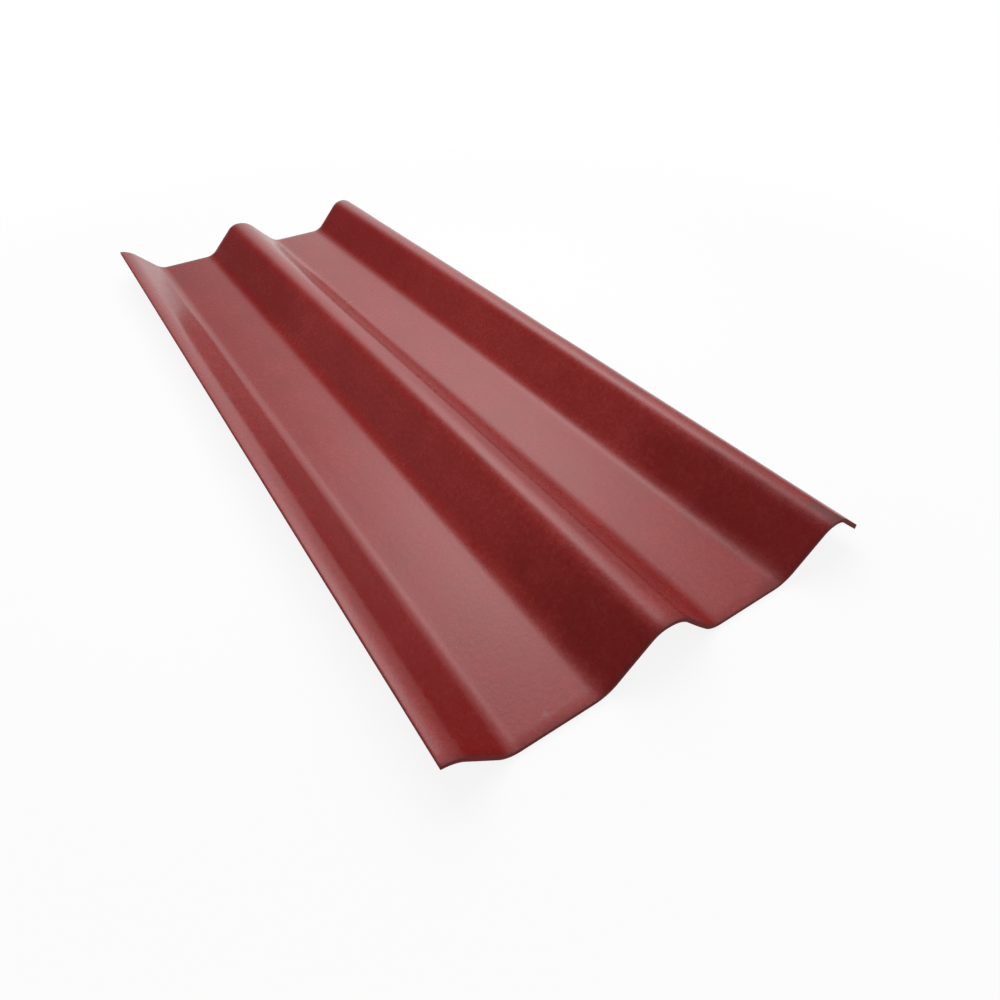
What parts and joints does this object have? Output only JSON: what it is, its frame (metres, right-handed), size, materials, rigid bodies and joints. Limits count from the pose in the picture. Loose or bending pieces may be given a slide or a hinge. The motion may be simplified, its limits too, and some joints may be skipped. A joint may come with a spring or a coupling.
{
  "type": "corrugated roof sheet",
  "caption": "Painted fibre-cement roof sheet with flat pans between rounded ridges, a half ridge on one edge and a whole ridge with a lip on the other, so sheets lap side by side.",
  "frame": {"origin": "middle of the sheet's footprint, on the plane of the pans' underside that the sheet lies on", "axes": "+Z out of the painted weather face; +Y along the ridges, the long way of the sheet; +X across the ridges, from the half ridge on the left edge to the whole ridge with its lip on the right edge"},
  "size_m": [0.5, 1.2, 0.0555],
  "materials": {
    "painted_fibre_cement": "satin"
  },
  "bodies": {
    "root": {"roof_sheet": "painted_fibre_cement"}
  },
  "joints": []
}
